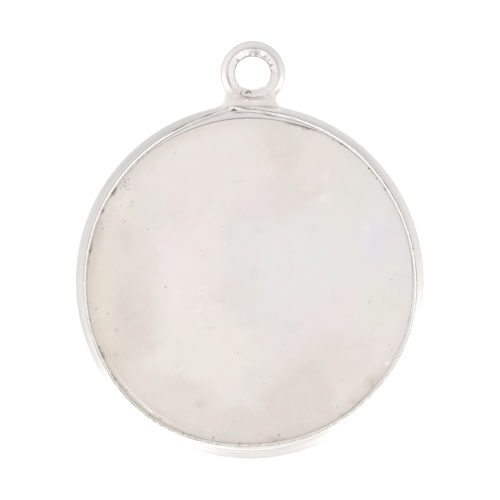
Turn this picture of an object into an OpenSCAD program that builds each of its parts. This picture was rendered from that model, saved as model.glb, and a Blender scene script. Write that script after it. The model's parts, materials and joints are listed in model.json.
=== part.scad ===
// A round moonstone slice in a silver bezel cup, with a wire loop soldered to its side.
// Millimetres. The back lies in the plane z = 0, the stone faces +Z and the loop is on the +Y side.
// The origin is the centre of the cup's back. Angles in the plane are counted from +Y to the left.

/* [Cup] */
// Radius of the cup's two round ends, towards the loop and away from it
cup_r = 14.46; // [12:0.02:18]
// Length of the straight stretch between them, which makes the cup a little oval
oval_l = 0.48; // [0.2:0.02:0.8]
// Height of the cup, from its back to the crest of the bezel strip
cup_h = 4.2; // [3.8:0.1:5]
// Thickness of the back plate
plate_t = 0.5; // [0.4:0.05:0.8]
// Thickness of the bezel strip
strip_t = 0.27; // [0.2:0.01:0.35]
// Height at which the strip starts to lean in over the stone
lean_z = 2.0; // [1.8:0.1:2.4]
// How far the crest leans in from the cup's side
lean_in = 0.7; // [0.6:0.02:0.9]
// Chamfer round the edge of the back
back_chamfer = 0.15; // [0.05:0.05:0.3]

/* [Seam below the loop] */
// Angle at which the two ends of the strip meet
apex_angle = 5.5; // [2:0.5:8]
// How far the meeting point stays inside the cup's side
apex_below = 0.06; // [0.05:0.01:0.2]
// Angle at which the crest leaves the round on the left
leave_left = 40; // [34:1:46]
// Angle at which the crest leaves the round on the right
leave_right = -28; // [-36:1:-24]
// Depth of the land between the crest and the stone
land_depth = 0.2; // [0.1:0.05:0.3]
// Width of the open notch between the ends of the strip
notch_w = 0.5; // [0.2:0.05:0.8]
// Depth of the notch, from the crest
notch_depth = 0.6; // [0.3:0.05:1]

/* [Loop] */
// Radius of the hole through the loop
hole_r = 1.5; // [1.2:0.05:1.8]
// Thickness of the loop's wire
wire_d = 1.24; // [1.1:0.02:1.4]
// Height of the middle of the wire above the back
loop_z = 2.1; // [1.8:0.1:2.2]
// Sideways place of the loop
loop_x = 0.25; // [-0.4:0.05:0.4]
// How deep the loop sinks into the cup's side
loop_sink = 0.16; // [0.1:0.02:0.2]
// Radius of the hollow sides of the solder at the loop's foot
solder_hollow = 1.0; // [0.8:0.05:1.3]
// Thickness of the solder at the loop's foot
solder_t = 1.04; // [0.8:0.02:1.06]

/* [Stone] */
// Gap between the stone and the metal
stone_gap = 0.05; // [0.03:0.01:0.08]
// Depth of the stone's rim below the crest
rim_below = 0.14; // [0.08:0.01:0.2]
// Rise of the stone's face from its rim to its middle
face_rise = 0.32; // [0.1:0.02:0.6]
// Width of the soft edge round the stone's face
edge_w = 0.15; // [0.1:0.01:0.3]

/* [Hidden] */
$fn = 128;
// The stone's face is a small piece of a very wide circle.
wide_fn = 2048;

// The drill is a little wider than the ring's inside, which leaves a narrow round land in the hole.
hole_land = 0.02;
wire_r = wire_d / 2;
ring_r = hole_r + wire_r - hole_land;
loop_out = ring_r + wire_r;
loop_y = sqrt(pow(cup_r + loop_out - loop_sink, 2) - loop_x * loop_x);

// The leaning part of the strip is an arc that starts upright at lean_z.
lean_h = cup_h - lean_z;
lean_r = (lean_h * lean_h + lean_in * lean_in) / (2 * lean_in);
crest_r = cup_r - lean_in;
crest_w = crest_r - strip_round(cup_h, strip_t);
apex_r = cup_r - apex_below;

// The stone's side follows the inside of the strip.
stone_in = strip_t + stone_gap;
stone_foot = plate_t + stone_gap;
rim_z = cup_h - rim_below;
rim_r = strip_round(rim_z, stone_in) - edge_w;
face_r = (rim_r * rim_r + face_rise * face_rise) / (2 * face_rise);

// What crosses goes past by bite, and a cut runs out by over.
bite = 0.06;
over = 1;
far = 2 * cup_r;

// Radius of the strip's face at height z, moved in by inset.
function strip_round(z, inset) =
    z <= lean_z ? cup_r - inset
                : cup_r - lean_r + sqrt(pow(lean_r - inset, 2) - pow(z - lean_z, 2));

// The direction at an angle.
function toward(angle) = [-sin(angle), cos(angle)];

// How far behind the middle of the round end a wide arc has its own, so that it runs from just inside
// the crest at the leaving angle out to the apex.
function arc_shift(leave) =
    let (start_r = crest_r - bite)
    (apex_r * apex_r - start_r * start_r) / (2 * (start_r - apex_r * cos(leave - apex_angle)));

// Centre of a circle that bites into both the loop and the cup. On the left side is -1, on the right 1.
function hollow_centre(side) =
    let (
        from_cup = cup_r + solder_hollow - bite,
        from_loop = loop_out + solder_hollow - bite,
        apart = norm([loop_x, loop_y]),
        along = (from_cup * from_cup - from_loop * from_loop + apart * apart) / (2 * apart),
        aside = sqrt(from_cup * from_cup - along * along)
    )
    (along * [loop_x, loop_y] + side * aside * [loop_y, -loop_x]) / apart;

// Half section of all that lies inside the strip's face moved in by inset, from foot up to top.
module half_section(inset, foot, top) {
    translate([0, foot]) square([cup_r - inset, lean_z - foot]);
    intersection() {
        translate([cup_r - lean_r, lean_z]) circle(r = lean_r - inset);
        translate([cup_r - lean_r, lean_z]) square([lean_r, top - lean_z]);
    }
    translate([0, lean_z]) square([cup_r - lean_r, top - lean_z]);
}

// Sweeps a half section round the oval.
module swept() {
    for (turn = [0, 180])
        rotate([0, 0, turn]) translate([0, oval_l / 2, 0]) rotate_extrude(angle = 180) children();
    rotate([90, 0, 0]) linear_extrude(oval_l, center = true) {
        children();
        mirror([1, 0]) children();
    }
}

// Puts what is measured from the middle of the round end on the loop's side in its place.
module at_loop_end() {
    translate([0, oval_l / 2, 0]) children();
}

// The cup's outside, with the edge of its back chamfered.
module cup_outside() {
    swept() difference() {
        half_section(0, 0, cup_h);
        polygon([
            [cup_r - back_chamfer - over, -over],
            [cup_r + over, back_chamfer + over],
            [cup_r + over, -over],
        ]);
    }
}

// Outline of the shallow point that the crest makes where it isn't pushed in round, moved in by inset.
module arch_outline(inset) {
    intersection() {
        wide_arc(leave_left, inset);
        wide_arc(leave_right, inset);
        polygon([[0, 0], far * toward(leave_left), far * toward(leave_right)]);
    }
}

module wide_arc(leave, inset) {
    shift = arc_shift(leave);
    translate(-shift * toward(leave)) circle(r = crest_r - bite + shift - inset);
}

module arch() {
    translate([0, 0, lean_z]) linear_extrude(lean_h) arch_outline(0);
}

// What is open above the land between the crest and the stone.
module land_cut() {
    translate([0, 0, cup_h - land_depth]) linear_extrude(land_depth + over) arch_outline(crest_w);
}

// The open notch between the two ends of the strip.
module notch_cut() {
    rotate([0, 0, apex_angle]) translate([0, apex_r - 1.5 * crest_w, cup_h - notch_depth])
        cube([notch_w, crest_w, notch_depth + over]);
}

// The hollow that takes the stone.
module pocket() {
    swept() half_section(strip_t, plate_t, cup_h + over);
}

module at_loop() {
    translate([loop_x, loop_y, loop_z]) children();
}

module ring() {
    at_loop() rotate_extrude() translate([ring_r, 0]) circle(r = wire_r);
}

// The solder between the loop and the cup, with hollow sides.
module solder() {
    left = hollow_centre(-1);
    right = hollow_centre(1);
    translate([0, 0, loop_z - solder_t / 2]) linear_extrude(solder_t) difference() {
        polygon([left, [loop_x, loop_y], right, 0.9 * right, 0.9 * left]);
        translate(left) circle(r = solder_hollow);
        translate(right) circle(r = solder_hollow);
        translate([loop_x, loop_y]) circle(r = ring_r);
    }
}

module hole() {
    at_loop() cylinder(r = hole_r, h = 2 * wire_d, center = true);
}

module silver_setting() {
    color([0.86, 0.86, 0.85]) difference() {
        union() {
            cup_outside();
            at_loop_end() {
                arch();
                ring();
                solder();
            }
        }
        pocket();
        at_loop_end() {
            land_cut();
            notch_cut();
            hole();
        }
    }
}

// The stone, with a soft edge and a slightly domed face.
module moonstone() {
    color([0.91, 0.89, 0.87]) swept() difference() {
        half_section(stone_in, stone_foot, rim_z + face_rise);
        polygon([
            [rim_r, rim_z],
            [rim_r, rim_z + face_rise + over],
            [cup_r + over, rim_z + face_rise + over],
            [cup_r + over, rim_z - (cup_r + over - rim_r)],
        ]);
        difference() {
            translate([-over, rim_z]) square([rim_r + 2 * over, face_rise + over]);
            translate([0, rim_z + face_rise - face_r]) circle(r = face_r, $fn = wide_fn);
        }
    }
}

silver_setting();
moonstone();
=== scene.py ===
import json
import math
from types import SimpleNamespace

import bpy
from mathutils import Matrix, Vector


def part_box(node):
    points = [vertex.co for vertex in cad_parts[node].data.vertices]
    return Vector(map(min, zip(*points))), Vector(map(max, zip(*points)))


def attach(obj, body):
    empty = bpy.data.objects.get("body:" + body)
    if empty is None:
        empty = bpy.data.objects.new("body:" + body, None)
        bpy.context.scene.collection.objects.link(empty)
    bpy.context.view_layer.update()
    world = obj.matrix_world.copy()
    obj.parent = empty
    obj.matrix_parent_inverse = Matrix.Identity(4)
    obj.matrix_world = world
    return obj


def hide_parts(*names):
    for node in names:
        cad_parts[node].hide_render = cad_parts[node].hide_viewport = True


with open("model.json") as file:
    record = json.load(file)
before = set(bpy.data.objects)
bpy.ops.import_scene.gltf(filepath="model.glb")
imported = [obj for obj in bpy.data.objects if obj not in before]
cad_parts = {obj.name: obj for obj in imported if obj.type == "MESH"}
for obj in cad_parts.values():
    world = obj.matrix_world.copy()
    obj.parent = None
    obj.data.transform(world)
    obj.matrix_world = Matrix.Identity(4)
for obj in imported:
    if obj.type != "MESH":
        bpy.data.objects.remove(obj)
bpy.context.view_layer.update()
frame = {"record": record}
mm = 0.001
settingLow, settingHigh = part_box("silver_setting")
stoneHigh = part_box("moonstone")[1]
loopHole = next(m for m in frame["record"]["mounts"] if m["name"] == "loop_hole")
sharpAngle = math.radians(38)   # edges bent more than this stay crisp
mergeWithin = 0.0005   # millimetres between points that become one
print("frame loaded")


class Sock:
    # A node's output that can take part in sums. Every sum adds a Math node to the same tree.
    def __init__(self, desk, socket):
        self.desk = desk
        self.socket = socket

    def do(self, operation, *rest):
        return self.desk.node("ShaderNodeMath", {"operation": operation}, [self, *rest])

    def of(self, name):
        return Sock(self.desk, self.socket.node.outputs[name])

    def __add__(self, other):
        return self.do("ADD", other)

    def __sub__(self, other):
        return self.do("SUBTRACT", other)

    def __mul__(self, other):
        return self.do("MULTIPLY", other)

    def __truediv__(self, other):
        return self.do("DIVIDE", other)

    def __pow__(self, other):
        return self.do("POWER", other)

    def __radd__(self, other):
        return self.do("ADD", other)

    def __rmul__(self, other):
        return self.do("MULTIPLY", other)

    def __rsub__(self, other):
        return self.desk.node("ShaderNodeMath", {"operation": "SUBTRACT"}, [other, self])

    def __neg__(self):
        return self.do("MULTIPLY", -1.0)

    def __abs__(self):
        return self.do("ABSOLUTE")

    def sin(self):
        return self.do("SINE")

    def cos(self):
        return self.do("COSINE")

    def exp(self):
        return self.do("EXPONENT")

    def sqrt(self):
        return self.do("SQRT")

    def least(self, other):
        return self.do("MINIMUM", other)

    def most(self, other):
        return self.do("MAXIMUM", other)

    def softLeast(self, other, width):
        return self.do("SMOOTH_MIN", other, width)

    def softMost(self, other, width):
        return self.do("SMOOTH_MAX", other, width)

    def ramp(self, low, high):
        # 0 at low and 1 at high, eased. Low may be the greater one.
        return self.desk.node("ShaderNodeMapRange", {"interpolation_type": "SMOOTHSTEP"},
                              {"Value": self, "From Min": low, "From Max": high})


class Desk:
    # Lays nodes into one tree.
    def __init__(self, tree):
        self.tree = tree

    def node(self, kind, settings=None, inputs=(), output=0):
        made = self.tree.nodes.new(kind)
        for name, value in (settings or {}).items():
            setattr(made, name, value)
        for key, value in inputs.items() if isinstance(inputs, dict) else enumerate(inputs):
            for one in value if isinstance(value, list) else [value]:
                if isinstance(one, Sock):
                    self.tree.links.new(one.socket, made.inputs[key])
                else:
                    made.inputs[key].default_value = one
        return Sock(self, made.outputs[output]) if len(made.outputs) else made

    def vector(self, x, y, z):
        return self.node("ShaderNodeCombineXYZ", {}, [x, y, z])

    def parts(self, vector):
        split = self.node("ShaderNodeSeparateXYZ", {}, [vector])
        return split.of("X"), split.of("Y"), split.of("Z")

    def noise(self, where, scale, detail=2.0, rough=0.5):
        # About -1 to 1, with its middle at 0
        made = self.node("ShaderNodeTexNoise", {"noise_dimensions": "3D"},
                         {"Vector": where, "Scale": scale, "Detail": detail, "Roughness": rough})
        return (made - 0.5) * 2.0

    def mix(self, mask, under, over):
        # A Mix node's colour sockets go by number, because several share a name.
        return self.node("ShaderNodeMix", {"data_type": "RGBA"}, {0: mask, 6: under, 7: over}, 2)

    def turnOf(self, x, y):
        # Angle from +Y to the left
        return self.node("ShaderNodeMath", {"operation": "ARCTAN2"}, [-x, y])


def far(x, y, x0, y0):
    return ((x - x0) ** 2.0 + (y - y0) ** 2.0).sqrt()


def thread(away, width):
    # A soft line, 1 at its middle
    return (-1.0 * (away / width) ** 2.0).exp()


def patch(x, y, x0, y0, halfX, halfY):
    # A soft oval, 1 at its middle
    return (-1.0 * (((x - x0) / halfX) ** 2.0 + ((y - y0) / halfY) ** 2.0)).exp()


def swell(angle, atDegrees, reachDegrees):
    # A round bump on the circle, 1 at its middle
    return (((angle - math.radians(atDegrees)).cos() - 1.0) / math.radians(reachDegrees) ** 2).exp()


def newTree(name, numbers):
    # A tree whose inputs carry the numbers' names, and those inputs by name
    tree = bpy.data.node_groups.new(name, "GeometryNodeTree")
    for key, value in numbers.items():
        kind = "NodeSocketInt" if isinstance(value, int) else "NodeSocketFloat"
        tree.interface.new_socket(name=key, in_out="INPUT", socket_type=kind)
    tree.interface.new_socket(name="Geometry", in_out="OUTPUT", socket_type="NodeSocketGeometry")
    desk = Desk(tree)
    source = tree.nodes.new("NodeGroupInput")
    return tree, desk, SimpleNamespace(**{key: Sock(desk, source.outputs[key]) for key in numbers})


def closeTree(desk, geometry, material):
    # All that comes before is in millimetres.
    inMetres = desk.node("GeometryNodeTransform", {}, {"Geometry": geometry, "Scale": (mm, mm, mm)})
    smooth = desk.node("GeometryNodeSetShadeSmooth", {}, {"Geometry": inMetres})
    bent = desk.node("GeometryNodeInputMeshEdgeAngle") - sharpAngle   # true where above 0
    crisp = desk.node("GeometryNodeSetShadeSmooth", {"domain": "EDGE"},
                      {"Geometry": smooth, "Selection": bent, "Shade Smooth": False})
    real = desk.node("GeometryNodeRealizeInstances", {}, {"Geometry": crisp})
    painted = desk.node("GeometryNodeSetMaterial", {}, {"Geometry": real, "Material": material})
    desk.node("NodeGroupOutput", {}, {"Geometry": painted})


def makePiece(name, tree, numbers):
    piece = bpy.data.objects.new(name, bpy.data.meshes.new(name + "Seed"))
    bpy.context.scene.collection.objects.link(piece)
    shaper = piece.modifiers.new("shape", "NODES")
    shaper.node_group = tree
    for item in tree.interface.items_tree:
        if item.in_out == "INPUT":
            shaper[item.identifier] = numbers[item.name]
    bpy.context.view_layer.update()
    depsgraph = bpy.context.evaluated_depsgraph_get()
    mesh = bpy.data.meshes.new_from_object(piece.evaluated_get(depsgraph), depsgraph=depsgraph)
    piece.modifiers.clear()
    piece.data = mesh
    mesh.name = name
    print(name, "has", sum(len(p.vertices) - 2 for p in mesh.polygons), "triangles")
    return piece


# Profiles are walked leg by leg. Each leg has its name, its rows, the radius and the height that it ends at,
# and its ease.
quarter = math.pi / 2
rolled = math.radians(60)   # how far the strip's top is rolled inwards
eases = {
    "line": lambda t: (t, t),
    "roll": lambda t: ((1.0 - (t * rolled).cos()) / (1.0 - math.cos(rolled)),
                       (t * rolled).sin() / math.sin(rolled)),
    "inAndUp": lambda t: (1.0 - (t * quarter).cos(), (t * quarter).sin()),
    "outThenUp": lambda t: ((t * quarter).sin(), 1.0 - (t * quarter).cos()),
}


def walkProfile(row, radius, height, legs):
    hereRadius, hereHeight, first, spans = radius, height, 0, {}
    for name, rows, toRadius, toHeight, ease in legs:
        along = ((row - first) / rows).most(0.0).least(1.0)
        radiusEase, heightEase = eases[ease](along)
        radius = radius + (toRadius - hereRadius) * radiusEase
        height = height + (toHeight - hereHeight) * heightEase
        spans[name] = (first, first + rows)
        hereRadius, hereHeight, first = toRadius, toHeight, first + rows
    return radius, height, spans


def roundGrid(desk, posts, rows, tighten):
    # A flat grid to be bent round, its angle and its row. Tighten brings the posts closer together near +Y.
    grid = desk.node("GeometryNodeMeshGrid", {}, {"Size X": 1.0, "Size Y": 1.0,
                                                  "Vertices X": posts, "Vertices Y": rows + 1})
    x, y, z = desk.parts(desk.node("GeometryNodeInputPosition"))
    turn = x * 2.0
    return grid, (turn * (1.0 - tighten) + turn ** 3.0 * tighten) * math.pi, (y + 0.5) * rows


def bend(desk, mesh, angle, radius, height):
    place = desk.vector(-angle.sin() * radius, angle.cos() * radius, height)
    moved = desk.node("GeometryNodeSetPosition", {}, {"Geometry": mesh, "Position": place})
    return desk.node("GeometryNodeMergeByDistance", {}, {"Geometry": moved, "Distance": mergeWithin})


# The cup, in millimetres and radians. Angles go from +Y to the left, so 90 degrees is the left side.
cup = {
    "halfWidth": settingHigh.x / mm,
    "halfLength": -settingLow.y / mm,
    "height": settingHigh.z / mm,
    "plate": 0.5,
    "strip": 0.27,
    "chamfer": 0.16,
    "lean": 0.06,   # how far the wall leans in below the roll
    "rollFrom": 3.15,   # height at which the strip starts to roll in
    "crestRound": 13.76,   # radius of the crest's outer edge
    "crestWidth": 0.26,
    "ridgeWidth": 0.12,   # the crest's top, outside its slope
    "ridgeDrop": 0.05,
    "slopeDrop": 0.025,
    "crestBelow": 0.015,   # how far the crest stays below the solid's top
    "lipOver": 0.065,   # how far the crest reaches over the stone
    "lipUnder": 4.065,   # height of its underside there
    "corner": 0.05,   # roundness of the crest's edges
    "archAt": math.radians(5.5),   # the point below the loop, where the strip's ends meet
    "archRise": 0.80,   # how far out it stands
    "archFade": math.radians(12.0),
    "archPoint": math.radians(0.7),   # how blunt it is
    "landDrop": 0.2,   # depth of the land between that point and the stone
    "posts": 661,   # columns of points round the cup
    "seed": 7.0,
}
# Where the strip was pushed in less or more than round: place and reach in degrees, and by how much
stripSwells = [
    (139, 18, 0.29),
    (-176, 15, -0.12),
    (82, 10, -0.05),
    (34, 9, 0.06),
    (-31, 15, 0.165),
    (-13, 6, 0.045),
    (-109, 13, 0.14),
]
# The same, for the crest alone, beside the apex
crestSwells = [
    (0.6, 1.3, -0.06),
    (8, 20, 0.03),
]
# The same, for the stone's opening alone
openSwells = [
    (-12, 6, -0.08),
    (-112, 22, -0.07),
    (28, 8, -0.05),
    (48, 5, -0.06),
    (107, 5, 0.07),
]
# Where the crest is broader
broadSwells = [
    (10.5, 4.5, 0.10),
    (3.6, 1.5, 0.10),
    (-8.5, 4.0, 0.09),
]
# Where the crest was left flat instead of being pushed down to the stone
flatSwells = [
    (4, 17, -0.8),
    (140, 16, -0.4),
]


def addSwells(total, angle, swells):
    for at, reach, rise in swells:
        total = total + swell(angle, at, reach) * rise
    return total


def cupLines(s, angle):
    # Radius of the side, the crest's outer edge, its inner edge and the stone's opening, and where the crest
    # reaches over the stone (1) or leaves the land open (0)
    side = s.halfWidth + (s.halfLength - s.halfWidth) * angle.cos() ** 2.0
    strip = addSwells(s.crestRound, angle, stripSwells)
    fromArch = ((angle - s.archAt) ** 2.0 + s.archPoint * s.archPoint).sqrt()
    arch = (-1.0 * fromArch / s.archFade).exp() * s.archRise
    crest = addSwells(strip + arch, angle, crestSwells).least(side - 0.02)
    opening = addSwells(strip - s.crestWidth - 0.01, angle, openSwells)
    free = crest - addSwells(s.crestWidth, angle, broadSwells)
    inner = free.most(opening + 0.012)
    return side, crest, inner, opening, (free - opening).ramp(0.06, 0.02)


def cupMesh(desk, s):
    rows = 83
    mesh, angle, row = roundGrid(desk, s.posts, rows, 0.55)
    side, crest, inner, opening, lip = cupLines(s, angle)
    top = s.height - s.crestBelow
    pushed = addSwells(1.0, angle, flatSwells)
    ridge = (crest - s.ridgeWidth).most(inner + s.corner + 0.02)
    ridgeIn = top - pushed * s.ridgeDrop
    slopeIn = ridgeIn - pushed * s.slopeDrop
    land = s.height - s.landDrop + lip * (s.lipUnder - s.height + s.landDrop)
    mouth = opening + lip * s.lipOver
    pocket = side - s.strip
    radius, height, at = walkProfile(row, 0.0, 0.0, [
        ("back", 10, side - s.chamfer, 0.0, "line"),
        ("backEdge", 4, side, s.chamfer, "outThenUp"),
        ("foot", 2, side, s.plate - 0.06, "line"),
        ("seamIn", 1, side - 0.02, s.plate, "line"),
        ("seamOut", 1, side, s.plate + 0.06, "line"),
        ("wall", 10, side - s.lean, s.rollFrom, "line"),
        ("roll", 22, crest, top - s.corner, "roll"),
        ("cornerOut", 4, crest - s.corner, top, "inAndUp"),
        ("crest", 4, ridge, ridgeIn, "line"),
        ("slope", 3, inner + s.corner, slopeIn, "line"),
        ("cornerIn", 4, inner, slopeIn - s.corner * 0.6, "outThenUp"),
        ("inside", 3, inner - 0.006, land, "line"),
        ("land", 7, mouth, land - 0.02 * (1.0 - lip), "line"),
        ("mouth", 2, mouth, 3.4, "line"),
        ("pocketTop", 2, pocket, 2.2, "line"),
        ("pocket", 2, pocket, s.plate, "line"),
        ("floor", 2, 0.0, s.plate, "line"),
    ])
    # Burnishing has left the strip a little uneven, along the rim more than across it.
    x = -angle.sin() * radius
    y = angle.cos() * radius
    long = desk.vector(x * 0.35, y * 0.35, (height - radius) * 1.4 + s.seed)
    short = desk.vector(x * 1.1, y * 1.1, (height - radius) * 3.0 + s.seed)
    onWall = row.ramp(at["wall"][0], at["wall"][0] + 4) * row.ramp(at["crest"][0], at["roll"][1])
    onCrest = row.ramp(at["roll"][1] - 4, at["crest"][0]) * row.ramp(at["cornerIn"][1], at["crest"][1])
    uneven = abs(desk.noise(long, 1.0, 2.0)) * 0.02 + abs(desk.noise(short, 1.0, 2.0)) * 0.006
    radius = radius - uneven * onWall
    height = height + (desk.noise(short, 1.3, 3.0) * 0.022 - 0.012) * onCrest
    # The back plate is slightly hollow and not quite flat.
    back = row.ramp(at["back"][1], 6)
    height = height + back * (0.02 + desk.noise(desk.vector(x, y, s.seed), 0.16) * 0.02)
    return bend(desk, mesh, angle, radius, height)


# The loop and its solder are one field of distances, turned into a mesh and joined to the cup.
loop = {
    "loopX": loopHole["pos_m"][0] / mm,
    "loopY": loopHole["pos_m"][1] / mm - 0.03,   # the wire's ring is a little closer to the cup
    "loopZ": loopHole["pos_m"][2] / mm,
    "ringRound": loopHole["dims"]["r_mm"] + 0.575,   # radius of the wire's middle line
    "wire": 0.605,   # radius
    "bevelTilt": math.radians(27.0),
    "bevelKeeps": 0.53,   # distance of the filed bevel from that line
    "hollowLeft": 1.35,   # radii of the solder's two hollow sides, with their middles below
    "hollowRight": 1.0,
    "solderHalf": 0.5,   # half of its thickness
    "hollowLeftX": -3.35,
    "hollowLeftY": 15.60,
    "hollowRightX": 3.14,
    "hollowRightY": 15.3,
    "webHalf": 3.0,   # half of its width, and how far up it goes
    "webTop": 15.95,
    "fillHole": 1.40,   # the hole that the solder in the loop leaves open: radius and middle
    "fillX": 0.22,
    "fillY": 17.29,
    "fillHalf": 0.40,   # half thickness of that solder
    "fillReach": 2.2,   # how far it goes from the loop's middle, and how far up
    "fillTop": 16.12,
    "wallSunk": 0.045,   # the patch of wall under the solder, from this depth below the side
    "wallThick": 0.22,   # to this one
    "wallHalf": 3.7,   # half of its width
    "wallFrom": 0.8,   # its heights
    "wallTo": 3.25,
    "voxel": 0.05,
}
# The corners of the block that the loop and its solder fill
loopBlock = [
    (-3.9, 13.5, 0.7),
    (3.9, 20.05, 3.9),
]
# Where the wire's inner half is marked by the file: place and reach in degrees, and how strongly
filedSwells = [
    (-8, 24, 1.0),
    (-60, 22, 0.9),
    (52, 16, 1.0),
    (140, 20, 0.4),
]
# Open pores in the solder: x, y, height of the bottom above the wire's middle, radius
solderPits = [
    (-0.54, 15.93, 0.36, 0.06),
    (-0.61, 15.84, 0.40, 0.05),
    (-0.68, 15.74, 0.36, 0.06),
    (-0.71, 15.62, 0.42, 0.05),
    (-0.75, 15.51, 0.36, 0.065),
    (-0.30, 15.63, 0.05, 0.08),
    (-0.13, 15.73, 0.05, 0.10),
    (0.05, 15.66, 0.10, 0.07),
]
# The open notch between the two ends of the strip is cut out with a small wedge.
notch = {
    "x": -1.31,
    "y": 14.17,
    "z": 4.0,
    "reach": 0.27,   # from the wedge's middle to its corners
    "deep": 1.1,
    "turn": 5.0,   # degrees
    "wide": 1.45,   # stretched along the strip
    "tall": 0.62,   # and squeezed across it
}
# Small runs of solder that stand a little proud: x, y, half length, radius
solderRuns = [
    (-0.29, 14.99, 0.10, 0.12),
    (0.48, 14.90, 0.26, 0.12),
    (1.60, 15.68, 0.20, 0.16),
]


def loopMesh(desk, s):
    x, y, z = desk.parts(desk.node("GeometryNodeInputPosition"))
    where = desk.vector(x, y, z)
    up = z - s.loopZ
    fromAxis = far(x, y, s.loopX, s.loopY)
    out = fromAxis - s.ringRound
    # A round wire whose inner half was filed to a bevel, with file marks on it
    filed = up * s.bevelTilt.cos() - out * s.bevelTilt.sin() - s.bevelKeeps
    around = desk.turnOf(x - s.loopX, y - s.loopY)
    marked = addSwells(0.2, around, filedSwells)
    strokes = desk.noise(where, 4.2, 3.0, 0.6) * 0.07 * out.ramp(-0.12, -0.4)
    strokes = strokes + desk.noise(where, 2.2, 2.0) * 0.02
    wire = (out ** 2.0 + up ** 2.0).sqrt() - s.wire + desk.noise(where, 0.8) * 0.02
    wire = wire - swell(around, -4, 28) * out.ramp(0.0, -0.3) * 0.08
    ring = wire.softMost(filed + strokes * marked, 0.05)
    # The cup's wall, a little inside its true face
    fromMiddle = far(x, y, 0.0, 0.0)
    side, crest, inner, opening, lip = cupLines(s, desk.turnOf(x, y))
    lean = ((z - s.plate) / (s.rollFrom - s.plate)).most(0.0).least(1.0) * s.lean
    rollTo = s.height - s.crestBelow - s.corner
    risen = ((z - s.rollFrom) / (rollTo - s.rollFrom)).most(0.0) * math.sin(rolled)
    rolledIn = (side - s.lean - crest) * (1.0 - (1.0 - risen * risen).sqrt()) / (1.0 - math.cos(rolled))
    face = side - lean - rolledIn
    outside = fromMiddle - (face - s.wallSunk)
    inside = (face - s.wallThick) - fromMiddle
    wall = outside.most(inside).most(abs(x) - s.wallHalf).most(s.wallFrom - z).most(z - s.wallTo)
    # The web of solder between two hollows
    fromLeft = s.hollowLeft - far(x, y, s.hollowLeftX, s.hollowLeftY)
    fromRight = s.hollowRight - far(x, y, s.hollowRightX, s.hollowRightY)
    climb = outside.ramp(1.2, -0.1) * (0.35 + thread(x, 2.0) * 0.65)
    thick = abs(up) - s.solderHalf - climb + abs(x) * 0.04
    web = fromLeft.most(fromRight).softMost(thick, 0.35)
    web = web.softMost(fromAxis * -1.0 + s.ringRound * 0.98, 0.4).most(inside)
    web = web.most(abs(x) - s.webHalf).most(y - s.webTop)
    # Solder that ran into the bottom of the hole
    filling = (abs(up) - s.fillHalf).softMost(s.fillHole - far(x, y, s.fillX, s.fillY), 0.1)
    filling = filling.most(fromAxis - s.fillReach).softMost(y - s.fillTop, 0.15)
    whole = ring.softLeast(web, 0.22).softLeast(filling, 0.15).softLeast(wall, 0.25)
    for px, py, half, size in solderRuns:
        run = (abs(x - px) - half).most(0.0) ** 2.0 + (y - py) ** 2.0 + ((up - s.fillHalf) * 0.8) ** 2.0
        whole = whole.softLeast(run.sqrt() - size, 0.22)
    lumps = desk.noise(where, 1.5, 3.0) * 0.045 + desk.noise(where, 4.0, 2.0) * 0.014
    whole = whole + lumps * y.ramp(16.5, 15.6) * outside.ramp(0.0, 0.3)
    for px, py, depth, size in solderPits:
        pit = (size - far(x, y, px, py)).least(up - depth)
        whole = whole.softMost(pit, 0.04)
    density = (0.5 - whole / (s.voxel * 4.0)).most(0.0).least(1.0)
    low, high = loopBlock
    counts = [round((b - a) / loop["voxel"]) for a, b in zip(low, high)]
    cloud = desk.node("GeometryNodeVolumeCube", {}, {
        "Density": density, "Min": low, "Max": high,
        "Resolution X": counts[0], "Resolution Y": counts[1], "Resolution Z": counts[2]})
    return desk.node("GeometryNodeVolumeToMesh", {"resolution_mode": "GRID"},
                     {"Volume": cloud, "Threshold": 0.5, "Adaptivity": 0.0})


def makeSetting(material):
    numbers = {**cup, **loop}
    tree, desk, s = newTree("settingShape", numbers)
    joined = desk.node("GeometryNodeMeshBoolean", {"operation": "UNION", "solver": "MANIFOLD"},
                       {"Mesh": [cupMesh(desk, s), loopMesh(desk, s)]})
    wedge = desk.node("GeometryNodeMeshCylinder", {}, {
        "Vertices": 3, "Radius": notch["reach"], "Depth": notch["deep"]})
    placed = desk.node("GeometryNodeTransform", {}, {
        "Geometry": wedge, "Translation": (notch["x"], notch["y"], notch["z"]),
        "Rotation": (0.0, 0.0, math.radians(90 + notch["turn"])),
        "Scale": (notch["tall"], notch["wide"], 1.0)})
    whole = desk.node("GeometryNodeMeshBoolean", {"operation": "DIFFERENCE", "solver": "MANIFOLD"},
                      {"Mesh 1": joined, "Mesh 2": placed})
    closeTree(desk, whole, material)
    return makePiece("silverSetting", tree, numbers)


# The stone follows the opening of the cup.
stone = {
    **{key: cup[key] for key in ("halfWidth", "halfLength", "plate", "strip", "crestRound", "crestWidth",
                                 "lipOver", "archAt", "archRise", "archFade", "archPoint")},
    "faceTop": stoneHigh.z / mm - 0.02,
    "rim": 4.05,   # height of the face's edge
    "gap": 0.006,
    "edge": 0.04,   # roundness of that edge
    "posts": 901,
    "seed": 3.0,
}


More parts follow.
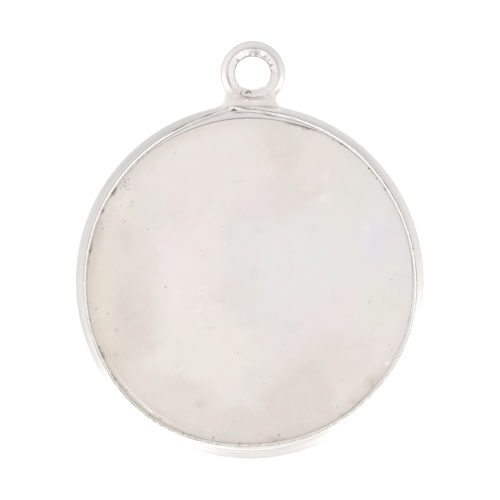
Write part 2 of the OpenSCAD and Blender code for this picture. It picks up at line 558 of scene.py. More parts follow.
def makeStone(material):
    rows = 56
    tree, desk, s = newTree("stoneShape", stone)
    mesh, angle, row = roundGrid(desk, s.posts, rows, 0.0)
    side, crest, inner, opening, lip = cupLines(s, angle)
    ringWay = desk.vector(angle.sin(), angle.cos(), s.seed)
    # The edge has tiny chips, and the gap to the metal isn't even.
    chips = desk.noise(ringWay, 26.0, 3.0).ramp(0.25, 0.7) * 0.07
    rim = opening - s.gap + lip * (s.lipOver - 0.015) - chips
    rim = rim - desk.noise(ringWay, 4.0, 4.0).ramp(0.1, 0.9) * 0.04
    edge = s.edge + desk.noise(ringWay, 5.0) * 0.02
    wall = side - s.strip - s.gap
    radius, height, at = walkProfile(row, 0.0, s.plate + s.gap, [
        ("under", 6, wall - 0.1, s.plate + s.gap, "line"),
        ("underEdge", 2, wall, s.plate + s.gap + 0.1, "outThenUp"),
        ("wall", 2, wall, 2.2, "line"),
        ("mouth", 3, opening - 0.004, 3.5, "line"),
        ("side", 2, opening - 0.004, 3.84, "line"),
        ("flank", 2, rim, s.rim - edge, "line"),
        ("edge", 7, rim - edge, s.rim, "inAndUp"),
        ("border", 14, rim - 1.6, s.rim, "line"),
        ("face", 18, 0.0, s.rim, "line"),
    ])
    spot = desk.vector(-angle.sin() * radius, angle.cos() * radius, s.seed)
    onFace = row.ramp(at["edge"][0], at["border"][0])
    dome = (s.faceTop - s.rim) * (1.0 - (radius / rim) ** 2.0)
    height = height + onFace * (dome - 0.012 + desk.noise(spot, 0.2, 2.0) * 0.012)
    closeTree(desk, bend(desk, mesh, angle, radius, height), material)
    return makePiece("moonstoneSlice", tree, stone)


def seen(red, green, blue):
    # A colour as it looks on a screen, 0 to 255, as light. None here is nearly black.
    return tuple(((c / 255 + 0.055) / 1.055) ** 2.4 for c in (red, green, blue)) + (1.0,)


def newMaterial(name, fixed):
    material = bpy.data.materials.new(name)
    material.use_nodes = True
    tree = material.node_tree
    shader = tree.nodes["Principled BSDF"]
    for key, value in fixed.items():
        shader.inputs[key].default_value = value
    desk = Desk(tree)
    spot = desk.node("ShaderNodeTexCoord").of("Object")
    inMm = desk.node("ShaderNodeVectorMath", {"operation": "SCALE"}, {"Vector": spot, "Scale": 1 / mm})
    return material, desk, shader, inMm


def plug(desk, shader, **links):
    for name, sock in links.items():
        desk.tree.links.new(sock.socket, shader.inputs[name.replace("_", " ")])


silverLook = {
    "fresh": seen(240, 239, 237),
    "greyed": seen(225, 222, 219),
    "wall": seen(202, 201, 200),
    "wallDark": seen(178, 177, 175),
    "solder": seen(235, 230, 227),
    "mauve": seen(216, 207, 206),
    "land": seen(240, 235, 236),
    "slope": seen(204, 196, 188),
    # Colour of painted highlights
    "highlightCream": seen(255, 251, 244),
    # Dark colour for real tarnish and dirt, and for painted shade and dark reflections
    "tarnishAndShade": seen(118, 106, 94),
    "pale": seen(252, 251, 250),
}
# Spots of old polish caught between the crest and the stone: x, y, radius, strength
rimSpots = [
    (-11.37, -7.72, 0.06, 0.5), (-11.22, -7.92, 0.06, 0.6), (-11.12, -8.08, 0.08, 0.8),
    (-10.19, -9.0, 0.06, 0.5), (-8.30, -11.05, 0.08, 0.5), (-7.40, -11.34, 0.06, 0.5),
    (-5.50, -12.55, 0.08, 0.5), (-4.90, -12.70, 0.08, 0.4), (-0.85, -13.42, 0.10, 0.5),
    (0.9, -13.40, 0.06, 0.4), (-11.36, 7.30, 0.08, 0.6), (-11.22, 7.52, 0.05, 0.4),
    (-12.14, 5.90, 0.08, 0.8), (-12.22, 5.72, 0.07, 0.7), (-13.26, 2.53, 0.07, 0.7),
    (9.88, 9.35, 0.08, 0.8), (6.40, 12.12, 0.06, 0.6), (6.87, 11.73, 0.06, 0.6),
    (7.56, 11.36, 0.08, 0.4), (10.50, 8.52, 0.07, 0.5), (11.15, 7.70, 0.07, 0.7),
    (11.24, 7.55, 0.06, 0.6), (13.48, 2.74, 0.07, 0.6), (4.75, 12.85, 0.07, 0.5),
]
# How much painted shade the side gets; below 0.4 the side is painted pale as a highlight, which happens away
# from the loop.
sideShadeSwells = [
    (144, 17, -0.75),
    (-130, 22, -0.75),
    (97, 14, -0.06),
    (28, 14, 0.16),
    (-84, 20, -0.16),
]
# Fine dark lines painted on the side as reflections: inset from the side, place and reach in degrees,
# strength
sideReflectionLines = [
    (0.06, 181, 18, 0.7),
    (0.45, 178, 12, 0.4),
    (0.66, 180, 16, 0.8),
    (0.66, 12, 9, 0.5),
    (0.52, -20, 16, 0.2),
]
# How strong the painted dark reflection along the crest's outer edge and the painted shade in the gap beside
# the stone are
edgeSwells = [
    (138, 22, 0.6),
    (-170, 25, 0.4),
    (-125, 15, 0.2),
    (24.5, 2.2, 1.6),
    (14.5, 1.8, 1.4),
    (-57, 7, 0.9),
    (-76, 8, 0.5),
    (-92, 6, 0.4),
    (-118, 6, 0.3),
    (7.5, 2, 0.4),
    (1.5, 2, 1.2),
    (-5, 3, 0.5),
    (-14, 8, 0.4),
    (80, 12, 0.3),
]
besideSwells = [
    (45, 35, 0.2),
    (88, 20, 0.3),
    (41, 8, 1.0),
    (-18, 10, 0.7),
    (0, 3.5, 0.7),
]
# Where the crest is grey and grainy instead of burnished
grainySwells = [
    (140, 20, 1.1),
    (-122, 18, 0.45),
    (-170, 25, 0.8),
    (90, 12, 0.2),
]
# The point below the loop: its grainy top with painted highlights, a painted highlight beside the notch and a
# darker patch on the land below it
pointMarksAndHighlights = {
    "topX": -1.3,
    "topY": 14.47,
    "dabX": -0.92,
    "dabY": 14.3,
    "darkPatchX": -0.95,
    "darkPatchY": 13.97,
    "darkPatchLong": 0.42,
    "darkPatchWide": 0.07,
    "darkPatchSlope": 0.12,
}
# Painted shade and highlights on the loop's wire, and its file marks and nicks, round it from its top to the
# left: place and reach in degrees, strength
wireShadeAndMarks = {
    "shaded": [(-40, 30, 0.22), (-118, 24, -0.5), (105, 26, -0.3)],
    "paled": [(-122, 18, 0.9), (112, 12, 0.5)],
    "filed": [(-6, 12, 1.6), (-42, 12, 0.3), (-100, 30, 0.3), (58, 12, 0.2)],
    "low": [(5, 45, 0.75), (-55, 20, 0.3), (-100, 25, 0.3), (95, 25, 0.3)],
    "middle": [(-75, 35, 0.6), (-25, 22, 0.3)],
    "crease": [(106, 13, 0.9), (-2, 12, 0.6)],
    "nicks": [(-8, 20, 0.8), (-60, 20, 0.8), (55, 13, 0.9)],
}
# Mauve patches in the solder: x, y, how far they reach, how far they are full, strength
mauvePatches = [
    (-0.8, 15.3, 1.7, 0.5, 0.55),
    (1.9, 14.9, 1.3, 0.4, 0.4),
]


def makeSilver():
    look = silverLook
    material, desk, shader, where = newMaterial("silver", {"Metallic": 1.0})
    x, y, z = desk.parts(where)
    radius = far(x, y, 0.0, 0.0)
    angle = desk.turnOf(x, y)
    side, crest, inner, opening, lip = cupLines(SimpleNamespace(**cup), angle)
    # Streaks run along the rim.
    streaks = desk.noise(desk.vector(x * 0.16, y * 0.16, (z - radius) * 5.0), 1.0, 4.0, 0.6)
    clouds = desk.noise(where, 0.5, 3.0)
    grain = desk.noise(where, 6.0, 3.0)
    colour = desk.mix((clouds * 0.6 + streaks * 0.5).ramp(-0.5, 0.7), look["fresh"], look["greyed"])
    # Painted shade on the side, darker than the crest, and a painted highlight away from the loop; the inner
    # part at the bottom gets more painted shade.
    onSide = z.ramp(0.4, 1.6) * (radius - crest).ramp(-0.03, 0.03) * (side - radius).ramp(-0.12, -0.02)
    sideShade = addSwells(0.58, angle, sideShadeSwells)
    sideShade = sideShade + (side - radius).ramp(0.35, 0.6) * swell(angle, 180, 22) * 0.3
    colour = desk.mix(onSide * sideShade.most(0.0) * (0.9 + streaks * 0.3), colour, look["wallDark"])
    colour = desk.mix(onSide * sideShade.ramp(0.4, -0.1), colour, look["pale"])
    # Painted dark reflection lines on the side
    for inset, at, reach, strength in sideReflectionLines:
        line = thread(side - radius - inset + streaks * 0.03, 0.028) * swell(angle, at, reach)
        colour = desk.mix(line * strength * (0.7 + streaks).most(0.0), colour, look["tarnishAndShade"])
    # Dark lines where the crest turns down, broken here and there: a painted dark reflection along the
    # crest's outer edge, and painted shade in the gap beside the stone and along the land's edge
    high = z.ramp(3.7, 3.95)
    onTop = z.ramp(3.8, 3.9)
    breaks = desk.noise(desk.vector(x * 1.8, y * 1.8, 0.0), 1.0, 3.0).ramp(-0.4, 0.2)
    ridge = crest - cup["ridgeWidth"]
    edgeShade = addSwells(0.4, angle, edgeSwells)
    arched = swell(angle, 4, 17)
    outerLine = thread(radius - crest + 0.01, 0.04) * (0.45 + breaks * 0.55) * edgeShade
    grainyAt = addSwells(0.0, angle, grainySwells).least(1.0)
    beside = addSwells(0.06, angle, besideSwells) * (0.4 + breaks * 0.6) + arched * 0.5
    innerLine = thread(radius - inner + 0.005, 0.035) * beside
    landLine = thread(radius - opening - 0.02, 0.045) * swell(angle, 5, 20) * onTop * 0.8
    onCrest = (radius - ridge).ramp(-0.02, 0.03) * (crest - radius).ramp(0.02, 0.06) * high
    colour = desk.mix(onCrest * (0.95 - grain.ramp(0.3, 0.8) * 0.5), colour, look["pale"])
    onSlope = (ridge - radius).ramp(-0.03, 0.03) * (radius - inner).ramp(-0.03, 0.01) * high
    flecks = desk.noise(desk.vector(x * 2.2, y * 2.2, 0.0), 1.0, 4.0, 0.7)
    coated = (0.6 + flecks * 0.8).most(0.0).least(1.0)
    bare = 1.0 - swell(angle, 4, 10) * 0.8 - swell(angle, -103, 24) * 0.55
    colour = desk.mix(onSlope * coated * bare, colour, look["slope"])
    # Painted shade on the flat crest near the top
    colour = desk.mix(onCrest * swell(angle, 15, 7) * 0.6, colour, look["wall"])
    colour = desk.mix(onCrest * grainyAt * (0.7 + grain * 1.8).most(0.0).least(1.0), colour, look["slope"])
    # Painted highlight on the slope just right of the point
    colour = desk.mix(onSlope * swell(angle, -3, 7) * 0.7, colour, look["pale"])
    split = thread(radius - ridge, 0.03) * flecks.ramp(-0.1, 0.2) * swell(angle, -12, 6)
    fleck = thread(radius - inner - 0.04, 0.08) * flecks.ramp(-0.25, 0.0) * swell(angle, -6.3, 1.6)
    split = split.most(fleck)
    grime = thread(radius - inner - 0.02, 0.06) * flecks.ramp(0.1, 0.35)
    grime = grime * addSwells(0.03, angle, stoneStains)
    for px, py, size, strength in rimSpots:
        grime = (far(x, y, px, py) + flecks * 0.05).ramp(size + 0.05, size * 0.5).most(0.0) * strength + grime
    colour = desk.mix(split.most(grime) * high * 0.8, colour, look["tarnishAndShade"])
    # Painted dark reflection along the crest's outer edge and painted shade in the gap beside the stone
    colour = desk.mix(outerLine.most(innerLine) * high * 0.8, colour, look["tarnishAndShade"])
    onLand = (inner - radius).ramp(0.0, 0.03) * onTop
    colour = desk.mix(onLand * 0.9, colour, look["land"])
    # Painted shade along the gap between the land and the stone
    colour = desk.mix(landLine, colour, look["tarnishAndShade"])
    pointLook = pointMarksAndHighlights
    # Painted highlights in flecks on the point's top, with dark flecks among them
    apex = far(x, y, pointLook["topX"], pointLook["topY"]).ramp(0.65, 0.3) * high
    colour = desk.mix(apex * (flecks + grain).ramp(-0.25, 0.1), colour, look["highlightCream"])
    colour = desk.mix(apex * (flecks + grain).ramp(-0.3, -0.55) * 0.7, colour, look["tarnishAndShade"])
    # A darker patch on the land below the point
    darkPatch = patch(x, y + (x - pointLook["darkPatchX"]) * pointLook["darkPatchSlope"], pointLook["darkPatchX"], pointLook["darkPatchY"],
                  pointLook["darkPatchLong"], pointLook["darkPatchWide"])
    colour = desk.mix(darkPatch * onTop * 0.55, colour, look["tarnishAndShade"])
    # A painted highlight beside the notch
    colour = desk.mix(far(x, y, pointLook["dabX"], pointLook["dabY"]).ramp(0.14, 0.06) * high, colour, look["highlightCream"])
    # Painted shade inside the notch, stronger towards its top
    inNotch = z.ramp(3.93, 3.85) * z.ramp(3.2, 3.4) * far(x, y, notch["x"], notch["y"]).ramp(0.5, 0.4)
    colour = desk.mix(inNotch * (0.3 + y.ramp(13.98, 14.15) * 0.5), colour, look["tarnishAndShade"])
    # The loop's wire: painted grey shade on its sides and outer edge, painted highlights low on its left and
    # right, a painted dark reflection along the crease and marks near the hole
    ringX, ringY = loop["loopX"], loop["loopY"]
    out = far(x, y, ringX, ringY) - loop["ringRound"]
    around = desk.turnOf(x - ringX, y - ringY)
    onRing = y.ramp(15.5, 16.2)
    low = abs(z - loop["loopZ"]).ramp(0.42, 0.2) * addSwells(0.12, around, wireShadeAndMarks["low"])
    shaded = addSwells(0.42, around, wireShadeAndMarks["shaded"]).most(0.0)
    colour = desk.mix(shaded * onRing * out.ramp(-0.15, 0.0), colour, look["wall"])
    paled = addSwells(0.0, around, wireShadeAndMarks["paled"]) * out.ramp(0.1, 0.3)
    colour = desk.mix(paled * onRing, colour, look["pale"])
    filedGrey = addSwells(0.12, around, wireShadeAndMarks["filed"]) * out.ramp(0.0, -0.12) * out.ramp(-0.56, -0.42)
    colour = desk.mix(filedGrey * (0.8 + grain) * onRing, colour, look["wallDark"])
    colour = desk.mix(low * onRing * 0.55, colour, look["tarnishAndShade"])
    middle = thread(out - 0.12, 0.16) * addSwells(0.1, around, wireShadeAndMarks["middle"])
    colour = desk.mix(middle * onRing * 0.4, colour, look["slope"])
    crease = thread(out + 0.01, 0.035) * addSwells(0.05, around, wireShadeAndMarks["crease"])
    scraped = desk.noise(desk.vector(x * 3.2, y * 3.2, 3.0), 1.0, 4.0, 0.7).ramp(0.0, 0.3)
    nicks = scraped * out.ramp(-0.16, -0.3) * addSwells(0.0, around, wireShadeAndMarks["nicks"])
    colour = desk.mix(crease.most(nicks) * onRing * z.ramp(2.2, 2.35), colour, look["tarnishAndShade"])
    # Solder round the loop's foot
    outside = (radius - side).ramp(-0.05, 0.25)
    below = y.ramp(16.4, 15.7)
    above = (radius - crest).ramp(0.03, 0.07) * abs(x - 0.1).ramp(2.8, 2.2) * y.ramp(14.0, 14.2) * below
    solder = desk.mix(grain.ramp(-0.4, 0.5), look["solder"], look["greyed"])
    for px, py, edge, full, strength in mauvePatches:
        solder = desk.mix((far(x, y, px, py) + clouds).ramp(edge, full) * strength, solder, look["mauve"])
    onSolder = (outside * below).most(above)
    colour = desk.mix(onSolder * 0.85, colour, solder)
    pores = 0.0
    for px, py, depth, size in solderPits:
        pores = far(x, y, px, py).ramp(size + 0.05, size * 0.6).most(pores)
    pores = pores * z.ramp(2.1, 2.3) * (0.2 + (x + 0.5).ramp(0.0, 0.2) * 0.3)
    colour = desk.mix(pores, colour, look["tarnishAndShade"])
    onRuns = 0.0
    for px, py, half, size in solderRuns[:2]:
        run = ((abs(x - px) - half).most(0.0) ** 2.0 + (y - py - (x - px) * -0.2) ** 2.0).sqrt()
        onRuns = run.ramp(size * 0.6, size * 0.2).most(onRuns)
    # Painted highlights on the first two solder runs
    colour = desk.mix(onRuns * z.ramp(2.0, 2.2), colour, look["highlightCream"])
    # The runs are rougher, so they catch light from all round.
    rough = 0.16 + streaks.ramp(-0.2, 0.6) * 0.1 + onSolder * 0.16 + z.ramp(0.3, 0.0) * 0.12 + onRuns * 0.3
    scratches = desk.noise(desk.vector(x * 0.5, y * 0.5, (z - radius) * 16.0), 1.0, 3.0)
    height = streaks * 0.5 + scratches * 0.3 + grain * (0.15 + onSolder * 0.5)
    bump = desk.node("ShaderNodeBump", {}, {"Strength": 0.5, "Distance": 0.00001, "Height": height})
    plug(desk, shader, Base_Color=colour, Roughness=rough, Normal=bump)
    return material


stoneLook = {
    "body": seen(228, 224, 222),
    "brown": seen(206, 192, 180),
    "stain": seen(120, 104, 84),
    "speck": seen(110, 96, 92),
    "light": seen(246, 243, 241),
    "creamy": seen(250, 244, 236),
    "tan": seen(226, 219, 214),
    "pink": seen(234, 221, 221),
    "green": seen(224, 227, 219),
    "veil": seen(217, 209, 205),
    "shade": 0.91,
}
# Clouds of colour in the stone: x, y, half width, half height, softness of the edge, colour, strength
stoneClouds = [
    (-3.2, 9.6, 5.2, 4.4, 0.35, seen(233, 227, 224), 0.9),
    (10.4, 2.4, 4.4, 6.6, 0.30, seen(228, 226, 224), 0.9),
    (8.9, -4.6, 5.2, 4.8, 0.30, seen(231, 225, 223), 0.9),
    (-5.0, 1.4, 3.0, 6.2, 0.22, seen(235, 228, 226), 0.9),
    (-3.4, -5.6, 4.9, 3.0, 0.25, seen(234, 229, 224), 0.9),
    (-5.0, -0.6, 1.6, 2.2, 0.40, seen(237, 229, 227), 0.6),
    (-2.6, -9.0, 1.7, 1.7, 0.30, seen(233, 226, 222), 0.8),
    (4.3, 2.2, 5.6, 3.4, 0.40, seen(228, 228, 226), 0.9),
    (2.6, 1.6, 2.1, 1.9, 0.60, seen(228, 229, 230), 0.6),
    (3.4, -1.7, 3.0, 1.8, 0.45, seen(230, 226, 228), 0.6),
    (10.4, 3.3, 1.7, 1.7, 0.70, seen(224, 224, 229), 0.8),
    (8.7, 7.8, 1.7, 1.9, 0.60, seen(224, 225, 220), 0.8),
    (7.2, 5.2, 1.5, 1.3, 0.70, seen(231, 225, 221), 0.6),
    (11.0, -2.2, 2.2, 1.5, 0.50, seen(227, 225, 217), 0.6),
    (5.4, 9.6, 2.8, 2.6, 0.40, seen(230, 223, 219), 0.8),
    (2.7, 11.3, 1.5, 2.2, 0.45, seen(222, 216, 208), 0.8),
    (3.0, 7.6, 1.6, 2.0, 0.50, seen(225, 218, 214), 0.7),
    (0.3, 6.0, 1.6, 1.0, 0.60, seen(229, 220, 219), 0.6),
    (7.0, -6.4, 2.8, 2.4, 0.50, seen(225, 217, 213), 0.8),
    (4.2, -9.4, 2.6, 2.4, 0.30, seen(219, 211, 204), 0.8),
    (9.3, -9.6, 2.0, 1.8, 0.50, seen(227, 220, 213), 0.7),
    (1.4, -11.8, 5.0, 1.6, 0.50, seen(220, 212, 205), 0.9),
    (-6.6, -10.2, 3.6, 2.2, 0.45, seen(224, 216, 208), 0.8),
    (-11.1, 0.2, 2.9, 6.0, 0.42, seen(227, 218, 211), 0.9),
    (-10.6, -5.2, 2.7, 3.6, 0.45, seen(225, 215, 208), 0.9),
    (-10.1, -2.4, 1.5, 2.2, 0.70, seen(219, 208, 202), 0.8),
    (-11.4, 6.6, 1.7, 1.8, 0.45, seen(234, 227, 219), 0.8),
    (-6.0, 5.8, 1.3, 1.7, 0.60, seen(229, 220, 218), 0.6),
]
# Smudges: x, y, half width, half height, colour, strength
stoneSmudges = [
    (-10.2, 3.6, 0.50, 0.9, seen(216, 206, 202), 0.6),
    (-12.75, 4.3, 0.40, 1.0, seen(208, 193, 184), 0.8),
    (-12.9, 1.0, 0.45, 1.4, seen(220, 210, 196), 0.7),
    (-12.5, -0.8, 0.8, 2.6, seen(229, 220, 206), 0.6),
    (-12.0, -4.5, 1.0, 2.4, seen(226, 218, 203), 0.7),
    (-11.0, -6.1, 1.1, 0.7, seen(214, 206, 194), 0.6),
    (-11.1, -6.1, 0.15, 0.15, seen(196, 186, 178), 0.6),
    (-3.3, -3.85, 0.25, 0.08, seen(206, 194, 190), 0.5),
    (-4.1, -10.2, 0.45, 0.3, seen(212, 198, 192), 0.6),
    (1.5, -10.5, 0.12, 0.35, seen(212, 204, 198), 0.5),
    (-1.2, -11.5, 0.35, 0.2, seen(208, 196, 184), 0.5),
    (5.3, 4.35, 0.05, 0.35, seen(205, 196, 192), 0.6),
    (5.7, 7.3, 0.9, 0.25, seen(222, 209, 206), 0.6),
    (2.6, 10.5, 0.3, 0.25, seen(212, 210, 203), 0.7),
    (-1.0, 8.3, 0.5, 0.15, seen(226, 216, 214), 0.5),
    (10.1, -8.2, 0.55, 0.40, seen(208, 203, 190), 0.7),
    (10.15, -8.55, 0.16, 0.30, seen(176, 170, 158), 0.6),
    (8.75, -9.95, 0.50, 0.22, seen(206, 199, 190), 0.7),
    (7.6, -11.0, 0.20, 0.12, seen(186, 176, 168), 0.6),
    (7.24, -10.35, 0.06, 0.16, seen(190, 180, 174), 0.6),
    (13.15, -3.3, 0.14, 0.40, seen(200, 191, 187), 0.6),
    (2.05, -13.0, 0.60, 0.12, seen(190, 176, 170), 0.7),
    (-12.55, 3.4, 0.30, 0.9, seen(214, 200, 192), 0.5),
]
# Specks: x, y, radius, strength
stoneSpecks = [
    (-8.45, 4.33, 0.05, 0.8), (-11.6, 4.93, 0.05, 0.5), (-10.35, 5.0, 0.05, 0.6),
    (-6.95, -0.45, 0.06, 0.8), (-0.48, 5.4, 0.08, 0.25), (11.75, 0.16, 0.05, 0.5),
    (9.9, -1.68, 0.06, 0.5), (-2.3, 4.6, 0.07, 0.25), (-12.7, -2.25, 0.08, 0.5),
    (-11.75, -2.62, 0.06, 0.6), (-10.3, -3.1, 0.07, 0.25), (-11.0, -4.0, 0.13, 0.3),
    (-1.0, -5.87, 0.06, 0.4), (1.2, -8.4, 0.06, 0.4), (-3.0, -12.95, 0.08, 0.7), (2.4, -12.7, 0.08, 0.7),
    (11.55, -5.24, 0.06, 0.5), (-10.44, 8.50, 0.06, 0.8), (-10.33, 8.24, 0.07, 0.9),
    (-10.30, 7.87, 0.06, 0.9), (-10.50, 7.94, 0.06, 0.8), (-10.04, 8.45, 0.06, 0.8),
    (-10.15, 7.61, 0.05, 0.7), (-9.96, 7.60, 0.05, 0.6), (-10.70, 7.71, 0.06, 0.7),
    (-9.56, 7.98, 0.05, 0.6), (-10.47, 7.29, 0.05, 0.5), (-9.70, 6.60, 0.05, 0.4),
    (-9.72, 6.29, 0.06, 0.5), (-10.65, 6.25, 0.05, 0.5), (-11.20, 5.94, 0.05, 0.5),
    (-10.20, 8.05, 0.05, 0.7), (-6.2, 10.6, 0.09, 0.2), (-4.0, 2.6, 0.05, 0.3), (7.6, -8.1, 0.05, 0.3),
    (-9.1, 1.2, 0.05, 0.3),
]
# Swarms of dark grains: x, y, half width, half height, strength
stoneGrains = [
    (-10.25, 8.1, 0.55, 0.8, 1.0),
    (-9.9, 6.4, 0.9, 1.3, 0.6),
    (-12.2, 4.6, 0.5, 1.4, 0.8),
    (-11.2, -3.2, 1.4, 1.4, 0.4),
    (9.8, -8.3, 0.9, 0.9, 0.5),
]
# Pale feathers and chips: x, y, half length, half width, turn in degrees, strength
stoneFeathers = [
    (6.1, 7.0, 0.55, 0.36, 35, 0.45), (4.9, 6.4, 0.5, 0.16, 40, 0.2), (-4.0, -1.0, 0.2, 0.07, 5, 0.6),
    (-4.35, -2.4, 0.18, 0.07, -5, 0.6), (-8.7, -5.7, 0.2, 0.06, 0, 0.4), (11.35, -6.75, 0.22, 0.14, 30, 0.9),
    (-6.3, -0.6, 0.5, 1.4, 15, 0.25), (1.3, 10.9, 0.20, 0.8, 25, 0.2), (10.1, 3.9, 0.3, 0.06, 40, 0.15),
    (6.3, 8.7, 0.12, 0.4, -20, 0.3), (-9.2, 9.8, 0.5, 0.08, 25, 0.3), (9.6, 4.5, 0.35, 0.5, 20, 0.3),
]
# Dirt and stain at the stone's edge: place and reach in degrees, strength
stoneStains = [
    (116, 2.5, 0.8), (129, 2, 0.5), (137, 2, 0.5), (147, 4, 0.2), (-133, 4, 0.25), (-170, 3, 0.6),
    (176, 3, 0.3), (57, 2.5, 0.8), (65, 2, 0.6), (79, 3, 0.7), (87, 3, 0.3), (103, 6, 0.4),
    (35, 6, 0.15), (-20.5, 4, 0.9), (-49, 3, 0.4), (-58, 2, 0.4), (-112, 5, 0.15), (-14, 3, 0.4),
]
# Where the stone's edge is browner: place and reach in degrees, strength
brownSwells = [
    (95, 40, 0.3),
    (165, 30, 0.2),
    (25, 14, 0.2),
    (-160, 20, 0.15),
    (-130, 10, 0.3),
]


def makeMoonstone():
    look = stoneLook
    material, desk, shader, where = newMaterial("moonstone", {
        "IOR": 1.52, "Subsurface Weight": 0.12, "Subsurface Scale": 0.0012, "Coat Weight": 0.3,
        "Coat Roughness": 0.05})
    x, y, z = desk.parts(where)
    # Edges of the clouds wander.
    wide = desk.node("ShaderNodeTexNoise", {}, {
        "Vector": where, "Scale": 0.34, "Detail": 5.0, "Roughness": 0.62})
    wx, wy, wz = desk.parts(wide.of("Color"))
    cx = x + (wx - 0.5) * 5.0
    cy = y + (wy - 0.5) * 5.0
    colour = desk.mix((wz - 0.5).ramp(-0.2, 0.2) * 0.4, look["body"], look["tan"])
    for px, py, halfX, halfY, soft, tint, strength in stoneClouds:
        away = (((cx - px) / halfX) ** 2.0 + ((cy - py) / halfY) ** 2.0).sqrt()
        colour = desk.mix(away.ramp(1.0 + soft, 1.0 - soft) * strength, colour, tint)
    for px, py, halfX, halfY, tint, strength in stoneSmudges:
        colour = desk.mix(patch(x, y, px, py, halfX, halfY) * strength, colour, tint)
    haze = desk.noise(where, 0.9, 5.0, 0.65)
    colour = desk.mix(haze.ramp(0.0, 0.9) * 0.3, colour, look["light"])
    # Faint pink and green patches, and greyer veils
    fine = desk.noise(where, 2.4, 5.0, 0.7)
    blush = desk.noise(where, 0.75, 4.0, 0.6)
    veil = desk.noise(desk.vector(x + 40.0, y, z), 0.45, 6.0, 0.7)
    colour = desk.mix(blush.ramp(0.0, 0.5) * 0.4, colour, look["pink"])
    colour = desk.mix(blush.ramp(0.0, -0.5) * 0.4, colour, look["green"])
    colour = desk.mix(veil.ramp(0.05, 0.55) * 0.4, colour, look["veil"])
    # The edge is browner in places, with dirt and grit along it.
    radius = far(x, y, 0.0, 0.0)
    angle = desk.turnOf(x, y)
    side, crest, inner, opening, lip = cupLines(SimpleNamespace(**cup), angle)
    inward = opening - radius
    browned = addSwells(0.05, angle, brownSwells)
    colour = desk.mix((inward + fine * 0.8).ramp(1.3, 0.0) * browned, colour, look["brown"])
    rimLight = thread(inward - 0.33 + fine * 0.15, 0.09) * swell(angle, 139, 9)
    colour = desk.mix(rimLight * (0.75 + fine), colour, look["creamy"])
    dirt = addSwells(0.02, angle, stoneStains)
    grit = desk.noise(where, 4.2, 4.0, 0.65)
    near = (-1.0 * inward.most(0.0) / 0.42).exp()
    close = (-1.0 * inward.most(0.0) / 0.13).exp()
    colour = desk.mix((fine + near * dirt * 1.3).ramp(0.45, 1.1) * near * 0.8, colour, look["stain"])
    gritty = (grit * 1.2 + close * (0.12 + dirt * 0.7)).ramp(0.45, 0.8)
    colour = desk.mix(gritty * 0.75, colour, look["speck"])
    for px, py, size, strength in rimSpots:
        spotted = (far(x, y, px, py) + fine * 0.05).ramp(size + 0.05, size * 0.5) * strength
        colour = desk.mix(spotted, colour, look["speck"])
    for px, py, halfLong, halfWide, turn, strength in stoneFeathers:
        c, s = math.cos(math.radians(turn)), math.sin(math.radians(turn))
        dx, dy = x - px + fine * 0.12, y - py
        feather = patch(dx * c + dy * s, dy * c - dx * s, 0.0, 0.0, halfLong, halfWide)
        colour = desk.mix(feather * strength, colour, look["light"])
    specks = 0.0
    for px, py, size, strength in stoneSpecks:
        specks = patch(x, y, px, py, size, size) * strength + specks
    grains = desk.noise(where, 5.0, 3.0, 0.6)
    for px, py, halfX, halfY, strength in stoneGrains:
        swarm = patch(x, y, px, py, halfX, halfY)
        specks = specks + (grains + swarm * 0.5).ramp(0.62, 0.95) * swarm * strength
    colour = desk.mix(specks.least(0.8), colour, look["speck"])
    colour = desk.node("ShaderNodeVectorMath", {"operation": "SCALE"}, {
        "Vector": colour, "Scale": look["shade"]})
    rough = 0.2 + fine.ramp(-0.2, 0.8) * 0.12
    waves = desk.noise(where, 0.35, 3.0) * 2.0 + fine * 0.12
    bump = desk.node("ShaderNodeBump", {}, {"Strength": 0.3, "Distance": 0.00002, "Height": waves})
    plug(desk, shader, Base_Color=colour, Roughness=rough, Normal=bump)
    return material


setting = makeSetting(makeSilver())
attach(setting, "root")
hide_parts("silver_setting")
print("setting made")
moonSlice = makeStone(makeMoonstone())
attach(moonSlice, "root")
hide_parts("moonstone")
print("stone made")

# Floor, light and camera
studio = {
    "floorHalf": 1.0,   # metres
    "floorDrop": 0.00002,
    "white": 0.3,   # how much light the table sends back
    "glow": 0.78,   # and how much it gives itself
    "overhead": 0.93,   # strength of the light above
    "overheadFrom": 0.76,   # where it begins and is full, as heights on the sky: 1 is straight above
    "overheadTo": 0.95,
    "lens": 0.76,   # strength where the lens looks in, and again from where to where
    "lensFrom": 0.988,
    "lensTo": 0.997,
    "around": 1.12,
    "loopSide": 1.06,
    "farSide": 1.35,
    "softboxPower": 0.4,
    "softboxSize": 0.6,
    "softboxAt": (-0.15, -0.75, 0.6),
}


def makeFloor():
    half = studio["floorHalf"]
    mesh = bpy.data.meshes.new("floor")
    corners = [(-half, -half, 0), (half, -half, 0), (half, half, 0), (-half, half, 0)]
    mesh.from_pydata(corners, [], [(0, 1, 2, 3)])
    floor = bpy.data.objects.new("floor", mesh)
    floor.location.z = -studio["floorDrop"]
    bpy.context.scene.collection.objects.link(floor)
    # A white table lit from below as well
    material = newMaterial("floorPaper", {
        "Base Color": (studio["white"],) * 3 + (1,), "Roughness": 0.8,
        "Emission Color": (1, 1, 1, 1), "Emission Strength": studio["glow"]})[0]
    mesh.materials.append(material)


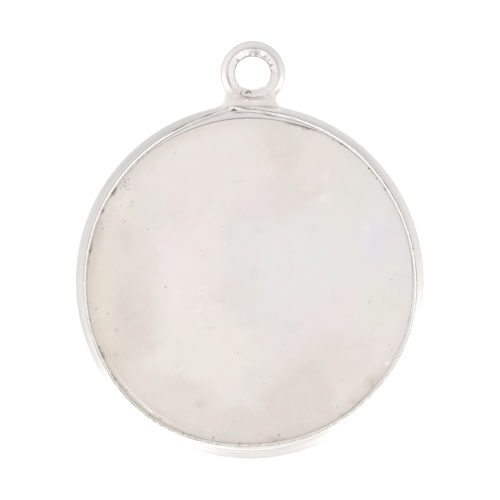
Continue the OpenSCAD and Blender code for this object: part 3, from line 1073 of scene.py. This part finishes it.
def makeLight():
    # White all round, greyer above where the lens looks in, and brighter from the side away from the loop
    world = bpy.data.worlds.new("studio")
    world.use_nodes = True
    bpy.context.scene.world = world
    desk = Desk(world.node_tree)
    x, y, z = desk.parts(desk.node("ShaderNodeTexCoord").of("Generated"))
    level = studio["around"] + (y.ramp(1.0, -1.0) - 0.3) * (studio["farSide"] - studio["loopSide"]) - x * 0.05
    level = level + (studio["overhead"] - level) * z.ramp(studio["overheadFrom"], studio["overheadTo"])
    level = level + (studio["lens"] - level) * z.ramp(studio["lensFrom"], studio["lensTo"])
    desk.tree.links.new(level.socket, world.node_tree.nodes["Background"].inputs["Strength"])
    world.node_tree.nodes["Background"].inputs["Color"].default_value = (1.0, 0.99, 0.985, 1)
    lamp = bpy.data.lights.new("softbox", "AREA")
    lamp.size = studio["softboxSize"]
    lamp.energy = studio["softboxPower"]
    box = bpy.data.objects.new("softbox", lamp)
    box.location = studio["softboxAt"]
    lampX, lampY, lampZ = studio["softboxAt"]
    box.rotation_euler = (math.atan2(-lampY, lampZ), 0, math.atan2(lampX, -lampY))
    bpy.context.scene.collection.objects.link(box)


# The camera looks straight down.
view = {
    "pixelsPerMm": 12.07,   # the loop's wire is 14.6 pixels thick and taken as 1.2 mm
    "middleX": 249.75,   # where the origin is in the picture
    "middleY": 281.5,
    "side": 500,   # pixels
    "distance": 1.5,   # metres
    "trueAt": 1.5,   # height in millimetres at which the scale holds
}


def makeCamera():
    camera = bpy.data.objects.new("camera", bpy.data.cameras.new("camera"))
    bpy.context.scene.collection.objects.link(camera)
    half, scale = view["side"] / 2, view["pixelsPerMm"] / mm
    camera.location = ((half - view["middleX"]) / scale, (view["middleY"] - half) / scale,
                       view["distance"] + view["trueAt"] * mm)
    camera.data.sensor_width = 36.0
    camera.data.lens = camera.data.sensor_width * view["distance"] * scale / view["side"]
    camera.data.clip_start = 0.01
    bpy.context.scene.camera = camera
    bpy.context.scene.view_settings.view_transform = "Standard"


makeFloor()
makeLight()
makeCamera()
print("stage made")
